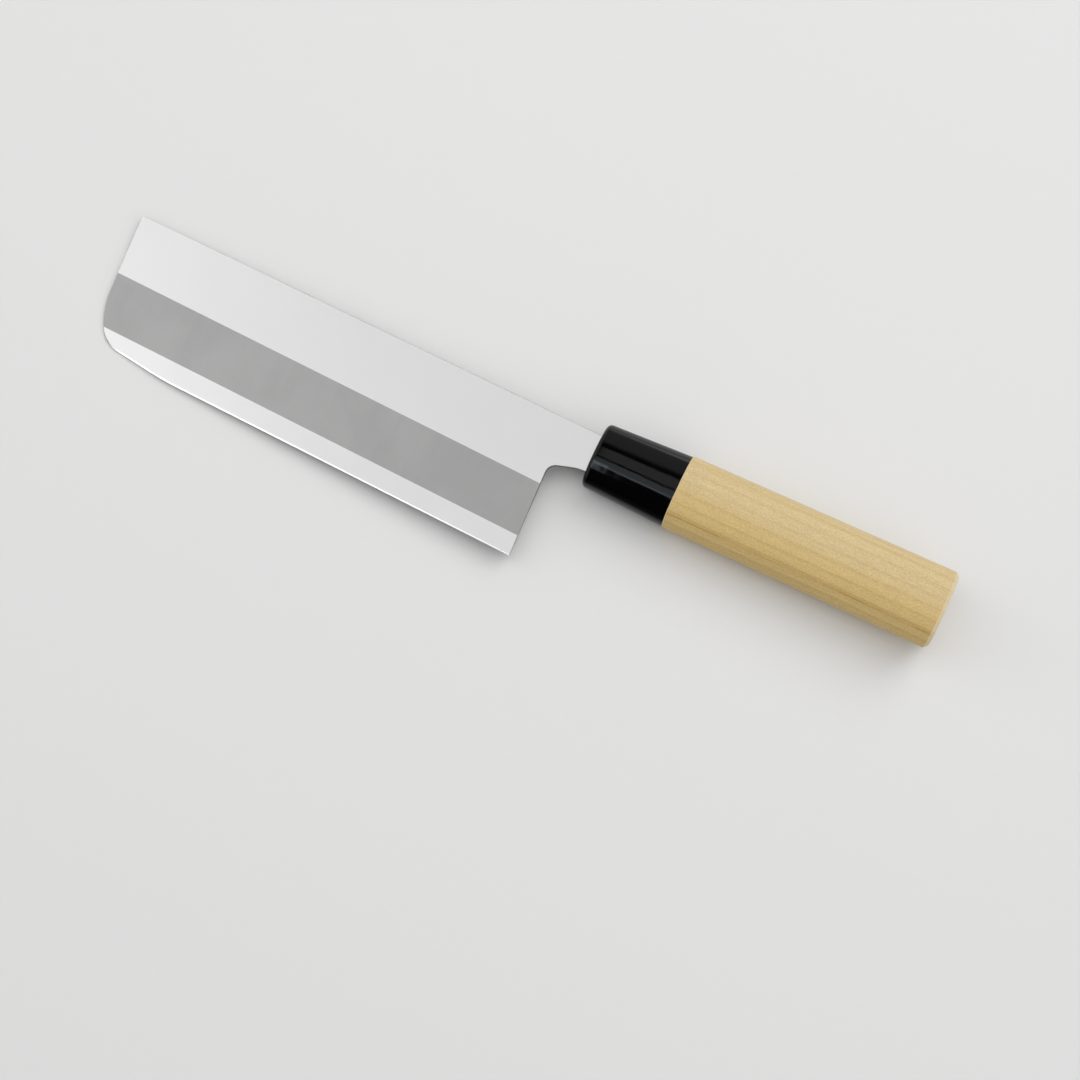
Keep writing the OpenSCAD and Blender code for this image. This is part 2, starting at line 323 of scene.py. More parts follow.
def new_finish(name, **constants):
    """A material with one Principled shader, and its place in millimetres in the knife's own axes."""
    material = bpy.data.materials.new(name)
    material.use_nodes = True
    tree = material.node_tree
    shader = tree.nodes["Principled BSDF"]
    for socket, value in constants.items():
        shader.inputs[socket.replace("_", " ")].default_value = value
    knife = knife_matrix(bpy.context.scene)
    place = add_node(tree, "ShaderNodeTexCoord").outputs["Object"]
    turned = add_node(tree, "ShaderNodeMapping", [("Vector", place), ("Location", knife.translation),
                                                  ("Rotation", knife.to_euler()), ("Scale", (MM, MM, MM))],
                      vector_type="TEXTURE")
    return material, tree, shader, turned.outputs[0]


def bump(tree, shader, height, strength, distance):
    """Feeds a height to the shader's normal. distance is in metres."""
    node = add_node(tree, "ShaderNodeBump", [("Strength", strength), ("Distance", distance),
                                             ("Height", height)])
    tree.links.new(node.outputs[0], shader.inputs["Normal"])


def hairline_group():
    """Fine parallel lines, as a grinding belt or a wood fibre leaves them."""
    if "hairlines" in bpy.data.node_groups:
        return bpy.data.node_groups["hairlines"]
    tree, given, result = new_group(
        "hairlines",
        [("Vector", "NodeSocketVector", None), ("Stretch", "NodeSocketVector", (1.0, 1.0, 1.0)),
         ("Detail", "NodeSocketFloat", 3.0)],
        [("Fine", "NodeSocketFloat"), ("Broad", "NodeSocketFloat")])
    pulled = add_pulled(tree, given.outputs["Vector"], given.outputs["Stretch"])
    fine = add_noise(tree, pulled, 1.0, given.outputs["Detail"], roughness=0.6)
    broad = add_noise(tree, add_pulled(tree, pulled, (0.35, 0.12, 0.12)), 1.0)
    tree.links.new(fine, result.inputs["Fine"])
    tree.links.new(broad, result.inputs["Broad"])
    return tree


def handling_group():
    """Soft cloudy patches, where hands and cloths have dulled a surface, and a few faint specks of dust."""
    if "handling" in bpy.data.node_groups:
        return bpy.data.node_groups["handling"]
    tree, given, result = new_group(
        "handling",
        [("Vector", "NodeSocketVector", None), ("Patch Size", "NodeSocketFloat", 18.0)],
        [("Patches", "NodeSocketFloat"), ("Specks", "NodeSocketFloat")])
    scale = add_math(tree, "DIVIDE", 1.0, given.outputs["Patch Size"])
    patches = add_noise(tree, given.outputs["Vector"], scale, 4.0, roughness=0.55, distortion=0.4)
    dots = add_node(tree, "ShaderNodeTexVoronoi", [("Vector", given.outputs["Vector"]), ("Scale", 0.45)])
    tree.links.new(add_range(tree, patches, 0.3, 0.7), result.inputs["Patches"])
    tree.links.new(add_range(tree, dots.outputs["Distance"], 0.05, 0.12, 1.0, 0.0), result.inputs["Specks"])
    return tree


# Blade

def round_corner(a, b, c, radius, share):
    """The arc that rounds corner b, as (middle, start, turn); it takes at most a share of each side."""
    p, q = (a - b).normalized(), (c - b).normalized()
    half = p.angle(q) / 2
    run = min(radius / math.tan(half), share * (a - b).length, share * (c - b).length)
    middle = b + (p + q).normalized() * (run / math.cos(half))
    start, end = b + p * run - middle, b + q * run - middle
    turn = math.atan2(start.cross(end).z, start.dot(end))
    return middle, b + p * run, turn


def draw_to(bm, pen, point):
    """Draws a straight line from the pen's vertex to a point."""
    pen = bmesh.ops.extrude_vert_indiv(bm, verts=[pen])["verts"][0]
    pen.co = point
    return pen


def draw_arc(bm, pen, corner):
    """Draws the straight line up to a rounded corner and the arc around it."""
    middle, start, turn = corner
    pen = draw_to(bm, pen, start)
    steps = max(3, math.ceil(abs(turn) / ARC_STEP))
    end = bmesh.ops.spin(bm, geom=[pen], cent=middle, axis=(0, 0, 1), angle=turn, steps=steps)
    return next(item for item in end["geom_last"] if isinstance(item, bmesh.types.BMVert))


def blade_corners(size):
    """The blade's corners in its own plane, with x towards the handle and the spine at y = 0."""
    def edge(back):
        distance = size.spine_length - back
        return distance, size.height - (distance - size.heel_gap) * math.tan(size.edge_taper)

    def corner(back, up):
        distance, below = edge(back)
        return Vector((-distance, -below + up, 0))

    notch = size.neck_height + size.notch_drop
    heel_run = size.heel_gap + (size.height - notch) * math.tan(size.heel_lean)
    return {
        "tip": Vector((-size.spine_length, 0, 0)),
        "cheek": corner(size.cheek_back, size.cheek_up),
        "nose": corner(size.nose_back, size.nose_up),
        "belly": corner(size.belly_back, 0.0),
        "heel": Vector((-size.heel_gap, -size.height, 0)),
        "notch": Vector((-heel_run, -notch, 0)),
        "bend": Vector((-size.neck_bend, -size.neck_height, 0)),
        "neck": Vector((size.neck_bend, -size.neck_height, 0)),
        "spine": Vector((size.neck_bend, 0, 0)),
    }


def draw_blade(bm, size):
    """Draws the outline in the blade's plane and fills it with one face."""
    at = blade_corners(size)
    first = pen = bm.verts.new(at["neck"])
    pen = draw_arc(bm, pen, round_corner(at["neck"], at["bend"], at["notch"], size.neck_radius, 0.49))
    pen = draw_arc(bm, pen, round_corner(at["bend"], at["notch"], at["heel"], size.notch_radius, 0.49))
    pen = draw_to(bm, pen, at["heel"])
    pen = draw_arc(bm, pen, round_corner(at["heel"], at["belly"], at["nose"], size.belly_radius, 0.5))
    pen = draw_arc(bm, pen, round_corner(at["belly"], at["nose"], at["cheek"], size.nose_radius, 0.4))
    pen = draw_arc(bm, pen, round_corner(at["nose"], at["cheek"], at["tip"], size.cheek_radius, 0.59))
    pen = draw_to(bm, pen, at["tip"])
    pen = draw_to(bm, pen, at["spine"])
    bm.edges.new((pen, first))
    bmesh.ops.contextual_create(bm, geom=bm.edges[:])


def cut(bm, point, normal, clear=False):
    """Cuts the sheet along a line, and may clear what lies beyond it."""
    bmesh.ops.bisect_plane(bm, geom=bm.verts[:] + bm.edges[:] + bm.faces[:], dist=WELD, plane_co=point,
                           plane_no=normal, clear_outer=clear)


FLAT, BEVEL, BAND, KEEN, SIDE, WALL = range(6)
# Share of its width that the keen bevel loses round the nose
KEEN_LOSS = 0.8
# How far in front of the heel corner the heel's line runs: beside the band, and up to the notch
HEEL_REACH = 2 * MM
NOTCH_REACH = 5 * MM


def edge_line(size):
    """The heel corner, and the direction from the edge line up to the spine."""
    return (Vector((-size.heel_gap, -size.height, 0)),
            Vector((math.sin(size.edge_taper), math.cos(size.edge_taper), 0)))


def above_edge(point, size):
    """The height of a point above the edge line."""
    heel, up = edge_line(size)
    return (point - heel).dot(up)


def half_thickness(height, size):
    """Half the blade's thickness at a height above the edge line."""
    low, mid, full = size.edge_thickness / 2, size.band_thickness / 2, size.thickness / 2
    if height < size.band_height:
        return low + (mid - low) * max(height, 0.0) / size.band_height
    return mid + (full - mid) * min(1.0, (height - size.band_height) / size.bevel_height)


def rim_ease(point, size):
    """The ease on the rim's corners at a point that isn't sharpened."""
    on_spine = point.y > -SLACK and point.x > -size.spine_length + SLACK
    return size.spine_ease if on_spine else size.corner_ease


def is_keen(point, size):
    """Whether a point of the rim is sharpened: from the heel corner round the nose to the top of the band."""
    height = above_edge(point, size)
    on_heel = point.x > -size.heel_gap - HEEL_REACH and height > 10 * SLACK
    return height < size.band_height + SLACK and point.x < -size.heel_gap + SLACK and not on_heel


def inner_vert(vert, rim):
    """The vertex that the inset made inside a vertex of the rim."""
    return next(e.other_vert(vert) for e in vert.link_edges if e.other_vert(vert) not in rim)


def inset_rim(bm, size):
    """Insets the keen bevel and the eased corners. Returns the rim's vertices and the keen ones among them."""
    rim = {v for v in bm.verts if v.is_boundary}
    keen = {v for v in rim if is_keen(v.co, size)}
    for face in bmesh.ops.inset_region(bm, faces=bm.faces[:], use_boundary=True, use_even_offset=True,
                                       thickness=size.keen_width)["faces"]:
        face.material_index = KEEN if all(v in keen for v in face.verts if v in rim) else SIDE
    for vert in rim:
        if vert in keen:
            # The keen bevel narrows as it climbs round the nose.
            share = 1 - KEEN_LOSS * min(1.0, max(0.0, above_edge(vert.co, size)) / size.band_height)
        else:
            share = rim_ease(vert.co, size) / size.keen_width
        inner = inner_vert(vert, rim)
        inner.co = vert.co.lerp(inner.co, share)
    heel, up = edge_line(size)
    corner = min(rim, key=lambda v: (v.co - heel).length)
    inner_vert(corner, rim).co = heel + up * size.keen_width + Vector((-size.corner_ease, 0, 0))
    return rim, keen


def thicken(bm, size, rim, keen):
    """Makes both faces from the sheet: a copy goes down and the sheet goes up, each by half the thickness."""
    for vert in bm.verts:
        half = half_thickness(above_edge(vert.co, size), size)
        if vert in keen:
            half = size.keen_thickness / 2
        elif vert in rim:
            half -= rim_ease(vert.co, size)
        vert.co.z = half
    for item in bmesh.ops.extrude_face_region(bm, geom=bm.faces[:])["geom"]:
        if isinstance(item, bmesh.types.BMVert):
            item.co.z = -item.co.z


def build_blade(size, knife, finishes):
    """Draws the blade's sheet, marks its zones, insets its rim, gives it its thickness and adds the tang."""
    bm = bmesh.new()
    draw_blade(bm, size)
    heel, up = edge_line(size)
    ridge = size.band_height + size.bevel_height
    in_plane = Matrix.Translation((0, size.neck_height / 2, 0)) @ Matrix.Rotation(-size.rise, 4, "Z")
    shoulder = in_plane.inverted() @ Vector((-size.neck_gap, 0, 0))
    cut(bm, shoulder, in_plane.inverted().to_3x3() @ Vector((1, 0, 0)), clear=True)
    for height in (size.band_height, ridge):
        cut(bm, heel + up * height, up)
    for face in bm.faces:
        height = above_edge(face.calc_center_median(), size)
        face.material_index = BAND if height < size.band_height else BEVEL if height < ridge else FLAT
    rim, keen = inset_rim(bm, size)
    thicken(bm, size, rim, keen)
    bmesh.ops.transform(bm, matrix=in_plane, verts=bm.verts)
    bmesh.ops.recalc_face_normals(bm, faces=bm.faces)
    # The walls at the heel, notch and neck take the wall finish, whose dark colour is painted shade.
    for face in bm.faces:
        if abs(face.normal.z) < 0.1:
            behind = face.calc_center_median().x > -size.heel_gap - NOTCH_REACH
            face.material_index = WALL if behind and face.normal.y < 0.5 else SIDE
    add_tang(bm, size)
    smooth_faces(bm, sharp=12)
    keep_piece(bm, "nakiri_blade", "blade", finishes, knife)


def tang_size(size):
    """The tang's height and thickness where it leaves the neck."""
    return size.tang_height, size.thickness - 2 * size.tang_step


def add_tang(bm, size):
    """Splits the neck's end wall and draws the tang out of its middle."""
    height, thickness = tang_size(size)
    wall = max((f for f in bm.faces if f.normal.x > 0.99), key=lambda f: f.calc_area())
    for side in (1, -1):
        bmesh.ops.bisect_plane(bm, geom=[wall, *wall.edges, *wall.verts], dist=WELD,
                               plane_co=(0, side * height / 2, 0), plane_no=(0, side, 0))
        wall = min((f for f in bm.faces if f.normal.x > 0.99), key=lambda f: abs(f.calc_center_median().y))
    root = bmesh.ops.extrude_discrete_faces(bm, faces=[wall])["faces"][0]
    for vert in root.verts:
        vert.co.x = size.tang_length
        vert.co.y = math.copysign(size.tang_end_height / 2, vert.co.y)
        vert.co.z = math.copysign(thickness / 2, vert.co.z)


def steel_finish(name, rgb, stretch, grain, rough, mottle, relief):
    """Steel with grinding lines and the faint patches that handling leaves."""
    material, tree, shader, place = new_finish(name, Metallic=1.0)
    lines = use_group(tree, hairline_group(), [("Vector", place), ("Stretch", stretch), ("Detail", 3.0)])
    patches = use_group(tree, handling_group(), [("Vector", place), ("Patch Size", 26.0)])
    tone = add_math(tree, "ADD", add_range(tree, lines.outputs["Fine"], 0.25, 0.75, 1 - grain, 1 + grain),
                    add_range(tree, patches.outputs["Patches"], 0.0, 1.0, -mottle, mottle))
    tree.links.new(add_scaled(tree, rgb, tone), shader.inputs["Base Color"])
    dull = add_range(tree, lines.outputs["Broad"], 0.3, 0.7, rough * (1 - 3 * grain), rough * (1 + 3 * grain))
    tree.links.new(dull, shader.inputs["Roughness"])
    bump(tree, shader, lines.outputs["Fine"], relief, 0.02 * MM)
    return material


def steel_finishes(size):
    """The blade's finishes, in the order of FLAT to WALL."""
    # Name, colour, stretch of the lines, their contrast, roughness, contrast of the patches, depth of the lines
    return [steel_finish(*row) for row in (
        ("steel_flat", size.flat_colour, (3.0, 0.05, 1.0), 0.003, 0.27, 0.006, 0.0),
        # Bevel row: its darker colour is partly satin grind, partly painted shade.
        ("steel_bevel", size.bevel_colour, (6.0, 0.3, 1.0), 0.02, 0.42, 0.03, 0.03),
        ("steel_band", size.band_colour, (0.2, 5.0, 1.0), 0.015, 0.22, 0.01, 0.003),
        # Keen row: its near-white colour is partly fresh steel, partly a painted highlight.
        ("steel_keen", size.keen_colour, (8.0, 0.8, 1.0), 0.03, 0.22, 0.0, 0.02),
        ("steel_side", size.side_colour, (0.6, 6.0, 6.0), 0.02, 0.3, 0.02, 0.01),
        # Wall row: its dark colour is painted shade.
        ("steel_wall_painted_shade", size.wall_shade_colour, (0.6, 6.0, 6.0), 0.08, 0.4, 0.03, 0.1),
    )]


class NAKIRI_OT_blade(bpy.types.Operator):
    """Build the ground steel blade with its keen bevel, notch, neck and tang"""

    bl_idname = "nakiri.blade"
    bl_label = "Blade"
    bl_options = {"REGISTER", "UNDO"}

    def execute(self, context):
        size = context.scene.nakiri_blade
        build_blade(size, knife_matrix(context.scene), steel_finishes(size))
        return {"FINISHED"}


# Ferrule and handle

def grow(size, by):
    """A height and a thickness, each made larger by as much on both sides."""
    return size[0] + 2 * by, size[1] + 2 * by


def socket_size(ferrule):
    """The height and thickness of the ferrule's socket."""
    return grow((ferrule.front_height, ferrule.front_thickness), -ferrule.side_wall)


def fit_section(verts, size, power):
    """Moves a ring onto an oval of a height and thickness; with no power it is a rectangle."""
    reach_y, reach_z = max(abs(v.co.y) for v in verts), max(abs(v.co.z) for v in verts)
    for vert in verts:
        y, z = vert.co.y / reach_y, vert.co.z / reach_z
        out = (abs(y) ** power + abs(z) ** power) ** (1 / power) if power else max(abs(y), abs(z))
        vert.co.y, vert.co.z = y / out * size[0] / 2, z / out * size[1] / 2


def start_section(bm, x, size, power):
    """A filled oval that stands across the knife's axis."""
    turn = Matrix.Rotation(math.pi / 2, 4, "Y") @ Matrix.Rotation(math.pi / 2, 4, "Z")
    bmesh.ops.create_circle(bm, cap_ends=True, segments=SECTION_SIDES, radius=1.0,
                            matrix=Matrix.Translation((x, 0, 0)) @ turn)
    face = bm.faces[:][-1]
    fit_section(face.verts, size, power)
    return face


def start_body(bm, x, size, power):
    """Starts a closed body with two faces at its front. Returns the one that is drawn on towards the butt."""
    back = start_section(bm, x, size, power)
    start_section(bm, x, size, power)
    return back


def draw_out(bm, face, x, size=None):
    """Extrudes a section to another station along the axis, and scales it where a size is given."""
    face = bmesh.ops.extrude_discrete_faces(bm, faces=[face])["faces"][0]
    bmesh.ops.translate(bm, vec=(x - face.verts[0].co.x, 0, 0), verts=face.verts)
    if size:
        old = [max(abs(v.co[i]) for v in face.verts) * 2 for i in (1, 2)]
        bmesh.ops.scale(bm, vec=(1, size[0] / old[0], size[1] / old[1]), verts=face.verts)
    return face


def close_body(bm):
    """Joins the two faces at the front to the rest and turns the normals outward."""
    bmesh.ops.remove_doubles(bm, verts=bm.verts, dist=WELD)
    bmesh.ops.recalc_face_normals(bm, faces=bm.faces)


def end_face(bm, pick):
    """The face at the front, picked by min, or at the back, picked by max."""
    return pick(bm.faces, key=lambda f: f.calc_center_median().x)


def set_in(bm, face, size, power):
    """Insets a flat section and shapes the new inner face, whatever the width of the inset."""
    bmesh.ops.inset_individual(bm, faces=[face], thickness=0.5 * MM, use_even_offset=True)
    fit_section(face.verts, size, power)
    return face


def build_ferrule(ferrule, handle, blade, knife, finishes):
    """Draws the oval cap, rounds its front, hollows its socket and opens the slot for the tang."""
    bm = bmesh.new()
    power = handle.fullness
    back = start_body(bm, 0.0, (ferrule.front_height, ferrule.front_thickness), power)
    draw_out(bm, back, ferrule.length, (ferrule.back_height, ferrule.back_thickness))
    close_body(bm)
    bmesh.ops.bevel(bm, geom=end_face(bm, min).edges[:], offset=ferrule.front_round, offset_type="OFFSET",
                    segments=8, profile=0.5, affect="EDGES", clamp_overlap=True, material=-1)
    front = end_face(bm, min)
    socket = set_in(bm, end_face(bm, max), socket_size(ferrule), power)
    floor = draw_out(bm, socket, ferrule.front_wall)
    rims = []
    for face in (front, floor):
        face = set_in(bm, face, grow(tang_size(blade), ferrule.mouth_fit), 0)
        rims += face.edges[:]
        bmesh.ops.delete(bm, geom=[face], context="FACES_ONLY")
    bmesh.ops.bridge_loops(bm, edges=rims)
    bmesh.ops.recalc_face_normals(bm, faces=bm.faces)
    smooth_faces(bm, sharp=40)
    keep_piece(bm, "nakiri_ferrule", "ferrule", finishes, knife)


def build_handle(ferrule, handle, blade, knife, finishes):
    """Draws the oval grip and its eases, the tenon that enters the ferrule and the blind slot for the tang."""
    bm = bmesh.new()
    power = handle.fullness
    front_size = grow((ferrule.back_height, ferrule.back_thickness), handle.proud)
    butt_size = (handle.butt_height, handle.butt_thickness)
    butt = ferrule.length + handle.length
    back = start_body(bm, ferrule.length, grow(front_size, -handle.front_ease), power)
    back = draw_out(bm, back, ferrule.length + handle.front_ease, front_size)
    back = draw_out(bm, back, butt - handle.butt_ease, butt_size)
    draw_out(bm, back, butt, grow(butt_size, -handle.butt_ease))
    close_body(bm)
    tenon = set_in(bm, end_face(bm, min), grow(socket_size(ferrule), -handle.tenon_fit), power)
    tenon = draw_out(bm, tenon, ferrule.front_wall + handle.tenon_fit)
    slot = set_in(bm, tenon, grow(tang_size(blade), handle.bedding), 0)
    draw_out(bm, slot, blade.tang_length + handle.bedding)
    bmesh.ops.recalc_face_normals(bm, faces=bm.faces)
    smooth_faces(bm, sharp=20)
    keep_piece(bm, "nakiri_handle", "handle", finishes, knife)


def plastic_finish(rgb):
    """Glossy black plastic with the faint waviness of a moulding and a little dust."""
    material, tree, shader, place = new_finish("ferrule_black", IOR=1.5)
    marks = use_group(tree, handling_group(), [("Vector", place), ("Patch Size", 6.0)])
    tree.links.new(add_range(tree, marks.outputs["Patches"], 0.0, 1.0, 0.07, 0.11), shader.inputs["Roughness"])
    dusty = add_math(tree, "MULTIPLY", marks.outputs["Specks"], 0.05)
    tree.links.new(add_mix(tree, dusty, opaque(rgb), (0.12, 0.12, 0.12, 1.0)), shader.inputs["Base Color"])
    bump(tree, shader, add_noise(tree, place, 0.25, 1.0), 0.06, 0.4 * MM)
    return material


def growth_lines(tree, along, across, out, phase):
    """Growth lines along the handle, each darkening slowly and ending sharply."""
    place = add_node(tree, "ShaderNodeCombineXYZ", [("X", add_math(tree, "MULTIPLY", along, 0.01)),
                                                    ("Y", add_math(tree, "MULTIPLY_ADD", out, 0.2, across))])
    rings = add_node(tree, "ShaderNodeTexWave", [("Vector", place.outputs[0]), ("Scale", 0.0866),
                                                 ("Distortion", 0.9), ("Detail", 1.0), ("Detail Scale", 1.5),
                                                 ("Phase Offset", phase)],
                     wave_type="BANDS", bands_direction="Y", wave_profile="SAW")
    return add_math(tree, "MULTIPLY", add_range(tree, rings.outputs["Fac"], 0.55, 0.95),
                    add_range(tree, rings.outputs["Fac"], 0.95, 1.0, 1.0, 0.0))


def dark_line(tree, place, across, drop):
    """The dark line low on the left face: a thin broken core in a soft shade."""
    reach = add_math(tree, "ABSOLUTE", add_math(tree, "ADD", across, drop / MM))
    core = add_math(tree, "MULTIPLY", add_range(tree, reach, 0.08, 0.4, 1.0, 0.0),
                    add_range(tree, add_noise(tree, place, 0.07), 0.40, 0.60, 0.12, 0.5))
    return add_math(tree, "ADD", core, add_range(tree, reach, 0.3, 2.2, 0.26, 0.0))


def fresh_cuts(tree, along, handle, butt):
    """The pale cuts of the two eased edges."""
    rear = (butt - handle.butt_ease) / MM
    front = (butt - handle.length + handle.front_ease) / MM
    return add_math(tree, "MAXIMUM", add_range(tree, along, rear - 0.1, rear + 0.1, 0.0, 0.5),
                    add_range(tree, along, front, front + 0.15, 0.45, 0.0))


def end_grain(tree, place, along, ring, butt):
    """The butt's end grain: open pores between the growth lines."""
    end = add_range(tree, along, butt / MM - 0.3, butt / MM - 0.05)
    pores = add_noise(tree, add_pulled(tree, place, (0.5, 3.2, 3.2)), 1.0, 3.0, roughness=0.65)
    lined = add_math(tree, "MULTIPLY_ADD", ring, 0.16, add_range(tree, pores, 0.42, 0.62, 0.25, 0.0))
    return add_math(tree, "MULTIPLY", end, lined)


def wood_finish(handle, butt):
    """Bare magnolia: straight grain along the handle, short fibres, a dark line low down and fresh cuts."""
    material, tree, shader, place = new_finish("magnolia", Specular_IOR_Level=0.3)
    split = add_node(tree, "ShaderNodeSeparateXYZ", [("Vector", place)])
    along, across, out = (split.outputs[axis] for axis in "XYZ")
    drift = add_noise(tree, place, 0.012, 1.0)
    across = add_math(tree, "ADD", across, add_math(tree, "MULTIPLY_ADD", drift, 2.4, -1.2))
    fibre, streak = (use_group(tree, hairline_group(), [("Vector", place), ("Stretch", stretch),
                                                        ("Detail", 4.0)]).outputs["Fine"]
                     for stretch in ((0.16, 4.5, 4.5), (0.005, 0.5, 0.4)))
    ring = growth_lines(tree, along, across, out, handle.ring_phase)

    # The growth lines are stronger towards the edge's side. The ground is warmer there too: partly the wood's
    # own tone, partly painted light in place of the white sheen that pales the upper side.
    low = add_range(tree, across, 3.5, -5.0)
    ground = add_mix(tree, low, opaque(handle.pale), opaque(handle.warm))
    line = add_math(tree, "MULTIPLY", ring, add_math(tree, "MULTIPLY_ADD", low, 0.08, 0.17))
    dark = add_math(tree, "ADD", line, dark_line(tree, place, across, handle.vein_drop))
    soft = add_math(tree, "MULTIPLY", add_range(tree, streak, 0.38, 0.68), 0.12)
    tone = add_mix(tree, add_math(tree, "ADD", dark, soft, clamp=True), ground, opaque(handle.line))
    pores = add_noise(tree, add_pulled(tree, place, (1.5, 3.2, 3.2)), 1.0, 3.0)
    grain = add_math(tree, "MULTIPLY", add_range(tree, fibre, 0.3, 0.7, 0.93, 1.065),
                     add_range(tree, pores, 0.35, 0.65, 0.905, 1.08))
    tone = add_scaled(tree, tone, grain)
    tone = add_mix(tree, fresh_cuts(tree, along, handle, butt), tone, opaque(handle.fresh))
    tone = add_mix(tree, end_grain(tree, place, along, ring, butt), tone, opaque(handle.line))
    tree.links.new(tone, shader.inputs["Base Color"])
    tree.links.new(add_range(tree, fibre, 0.2, 0.8, 0.5, 0.66), shader.inputs["Roughness"])
    bump(tree, shader, fibre, 0.25, 0.05 * MM)
    return material


def bedding_finish():
    """Cured amber adhesive with small bubbles."""
    material, tree, shader, place = new_finish("bedding_amber")
    bubbles = add_node(tree, "ShaderNodeTexVoronoi", [("Vector", place), ("Scale", 1.6)])
    bubble = add_range(tree, bubbles.outputs["Distance"], 0.1, 0.3, 1.0, 0.0)
    tree.links.new(add_mix(tree, bubble, (0.45, 0.33, 0.16, 1.0), (0.62, 0.52, 0.32, 1.0)),
                   shader.inputs["Base Color"])
    tree.links.new(add_range(tree, bubble, 0.0, 1.0, 0.6, 0.45), shader.inputs["Roughness"])
    bump(tree, shader, bubble, 0.3, 0.1 * MM)
    return material


class NAKIRI_OT_ferrule(bpy.types.Operator):
    """Build the black plastic ferrule with its socket and slot"""

    bl_idname = "nakiri.ferrule"
    bl_label = "Ferrule"
    bl_options = {"REGISTER", "UNDO"}

    def execute(self, context):
        scene = context.scene
        build_ferrule(scene.nakiri_ferrule, scene.nakiri_handle, scene.nakiri_blade, knife_matrix(scene),
                      [plastic_finish(scene.nakiri_ferrule.colour)])
        return {"FINISHED"}


class NAKIRI_OT_handle(bpy.types.Operator):
    """Build the oval wooden handle, and finish the adhesive that holds the tang in it"""

    bl_idname = "nakiri.handle"
    bl_label = "Handle"
    bl_options = {"REGISTER", "UNDO"}

    def execute(self, context):
        scene = context.scene
        handle = scene.nakiri_handle
        build_handle(scene.nakiri_ferrule, handle, scene.nakiri_blade, knife_matrix(scene),
                     [wood_finish(handle, scene.nakiri_ferrule.length + handle.length)])
        bedding = frame["nodes"]["tang_bedding"].data.materials
        bedding.clear()
        bedding.append(bedding_finish())
        return {"FINISHED"}


# Stage

# The backdrop's tone, which the table takes on far from the knife
BACKDROP = (0.80, 0.80, 0.80, 1.0)
TABLE_REACH = 15.0
# Height of the lowest panel over the knife. A glossy ray counts only one of two panels at the same height, so
# each hangs a step above the last.
CEILING = 1.2
CEILING_STEP = 0.01
# Each panel over the knife: name, reach along X and Y, radiance, tint, and whether it lights only the ferrule
# or all but the ferrule
CEILING_PANELS = (
    ("blade_panel", (-1.1, 0.5), (-0.30, 0.55), 1.0, WHITE, False),
    ("front_panel", (-0.9, -0.48), (-0.14, 0.0), 0.18, WHITE, False),
    ("nose_panel", (-2.9, -0.8), (-1.7, -0.36), 1.45, WHITE, False),
    ("edge_panel", (-1.1, -0.22), (-0.80, -0.45), 1.8, WHITE, False),
    ("ferrule_strip", (-0.37, 0.6), (-0.31, 0.03), 0.72, (0.86, 0.96, 1.0), True),
    ("ferrule_line", (-0.37, 0.6), (-0.33, -0.24), 0.65, (0.90, 0.97, 1.0), True),
    ("ferrule_fan", (-1.0, -0.36), (-0.74, -0.14), 1.4, (0.92, 0.97, 1.0), True),
    ("ferrule_glow", (-0.36, 0.6), (0.105, 0.44), 0.45, (1.0, 0.99, 0.96), True),
)
# Turn of the fan, which makes its edge run askew over the ferrule
FAN_TURN = math.radians(-7)
# Each panel in front of the knife, which lights all but the ferrule: name, place, size and radiance
FRONT_PANELS = (
    ("low_panel", (0.0, -1.6, 0.3), (2.6, 0.5), 0.6),
    ("room_panel", (0.0, -1.45, 1.0), (3.6, 1.5), 0.45),
)
# The panels that show only in gloss
GLOSS_PANELS = ("nose_panel", "edge_panel", "low_panel", "room_panel")


def table_finish(rgb):
    """Dull white, with painted shade in front of the knife that only gloss sees; far off the camera sees the
    backdrop.
    """
    material = bpy.data.materials.new("table_white")
    material.use_nodes = True
    tree = material.node_tree
    shader = tree.nodes["Principled BSDF"]
    shader.inputs["Roughness"].default_value = 0.8
    shader.inputs["Specular IOR Level"].default_value = 0.1
    place = add_node(tree, "ShaderNodeNewGeometry").outputs["Position"]
    path = add_node(tree, "ShaderNodeLightPath")
    across = add_node(tree, "ShaderNodeSeparateXYZ", [("Vector", place)]).outputs["Y"]
    # Painted shade: glossy rays see the table darker in front of the knife.
    gloss_shade = add_math(tree, "MULTIPLY", path.outputs["Is Glossy Ray"],
                   add_range(tree, across, -0.035, 0.0, 0.98, 0.2))
    tree.links.new(add_mix(tree, gloss_shade, opaque(rgb), (0.0, 0.0, 0.0, 1.0)), shader.inputs["Base Color"])
    away = add_node(tree, "ShaderNodeVectorMath", [(0, place)], operation="LENGTH").outputs["Value"]
    far = add_math(tree, "MULTIPLY", add_range(tree, away, 0.4, 1.6), path.outputs["Is Camera Ray"])
    backdrop = add_node(tree, "ShaderNodeEmission", [("Color", BACKDROP)])
    shown = add_node(tree, "ShaderNodeMixShader", [(0, far), (1, shader.outputs[0]), (2, backdrop.outputs[0])])
    tree.links.new(shown.outputs[0], tree.nodes["Material Output"].inputs["Surface"])
    return material


def build_table(rgb):
    """The flat table that the knife lies on."""
    bm = bmesh.new()
    bmesh.ops.create_grid(bm, x_segments=1, y_segments=1, size=TABLE_REACH)
    mesh = bpy.data.meshes.new("table")
    bm.to_mesh(mesh)
    bm.free()
    mesh.materials.append(table_finish(rgb))
    table = bpy.data.objects.new("table", mesh)
    bpy.context.scene.collection.objects.link(table)


